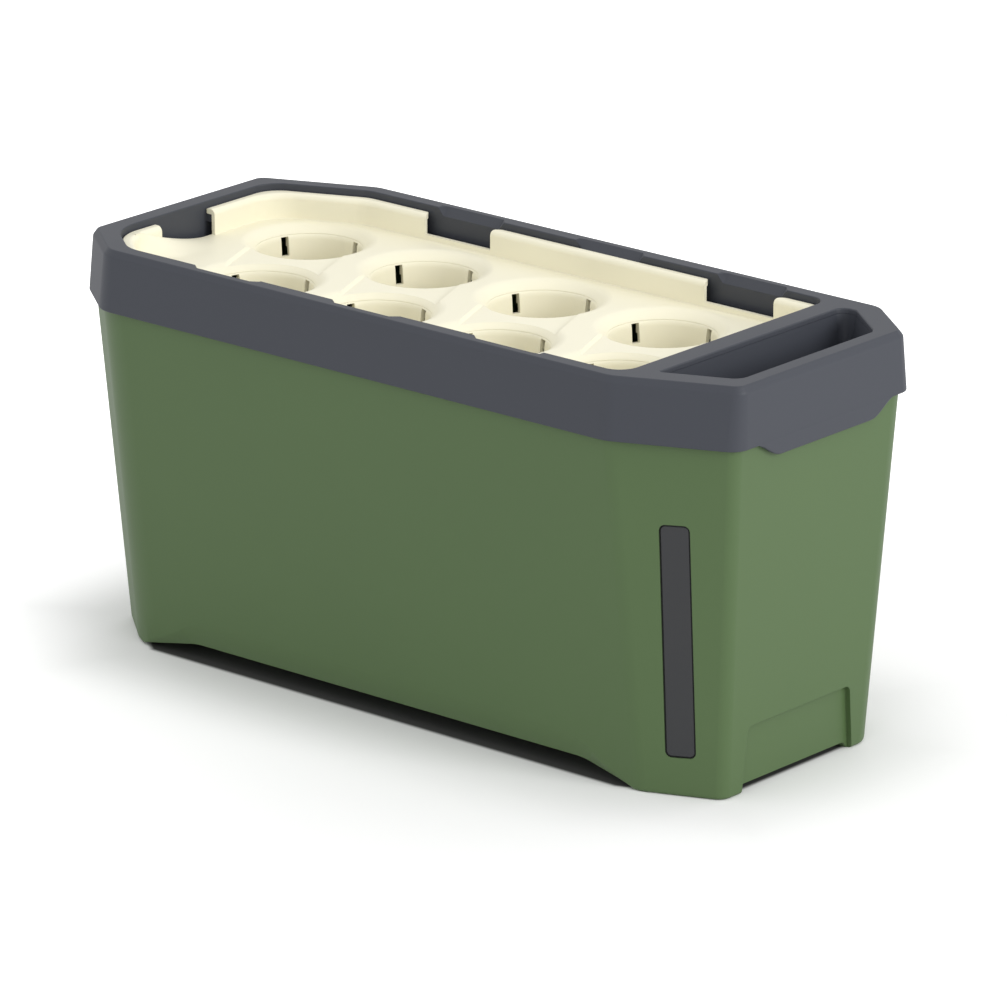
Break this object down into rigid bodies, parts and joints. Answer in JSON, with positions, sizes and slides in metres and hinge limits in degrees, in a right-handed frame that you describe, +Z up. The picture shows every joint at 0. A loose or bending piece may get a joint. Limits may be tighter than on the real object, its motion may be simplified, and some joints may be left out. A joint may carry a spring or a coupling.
{
  "type": "self-watering herb planter",
  "caption": "Raised tabletop herb planter: a tapered green water box, a slate push-on rim with a filling trough, and a cream lift-out insert with rows of planting wells.",
  "frame": {"origin": "middle of the bounding box, on the ground under the feet", "axes": "+X along the planter towards the filling trough, +Y across it to the back, +Z up"},
  "size_m": [0.6, 0.259, 0.297],
  "materials": {
    "green_plastic": "fine moulded texture",
    "slate_plastic": "fine moulded texture",
    "cream_plastic": "satin moulded",
    "smoked_plastic": "smoked and polished",
    "seal_rubber": "matt",
    "screw_steel": "plain",
    "float_plastic": "satin"
  },
  "bodies": {
    "box": {"planter_body": "green_plastic", "rim_collar": "slate_plastic", "trough_basin": "slate_plastic", "flange_lugs": "slate_plastic", "level_window": "smoked_plastic", "window_seal": "seal_rubber", "window_frame": "slate_plastic", "frame_screws": "screw_steel"},
    "insert": {"planting_insert": "cream_plastic", "well_cups": "cream_plastic"},
    "float": {"level_float": "float_plastic"},
    "plug": {"drain_plug": "slate_plastic", "plug_seal": "seal_rubber"}
  },
  "joints": [
    {"name": "insert_lift", "type": "slide", "parent": "box", "child": "insert", "axis": [0, 0, 1], "range_m": [0, 0.28]},
    {"name": "float_rise", "type": "slide", "parent": "box", "child": "float", "axis": [-0.0234, -0.0238, 0.9994], "range_m": [0, 0.147]},
    {"name": "drain_plug_pull", "type": "slide", "parent": "box", "child": "plug", "axis": [-1, 0, 0], "range_m": [0, 0.03]}
  ]
}
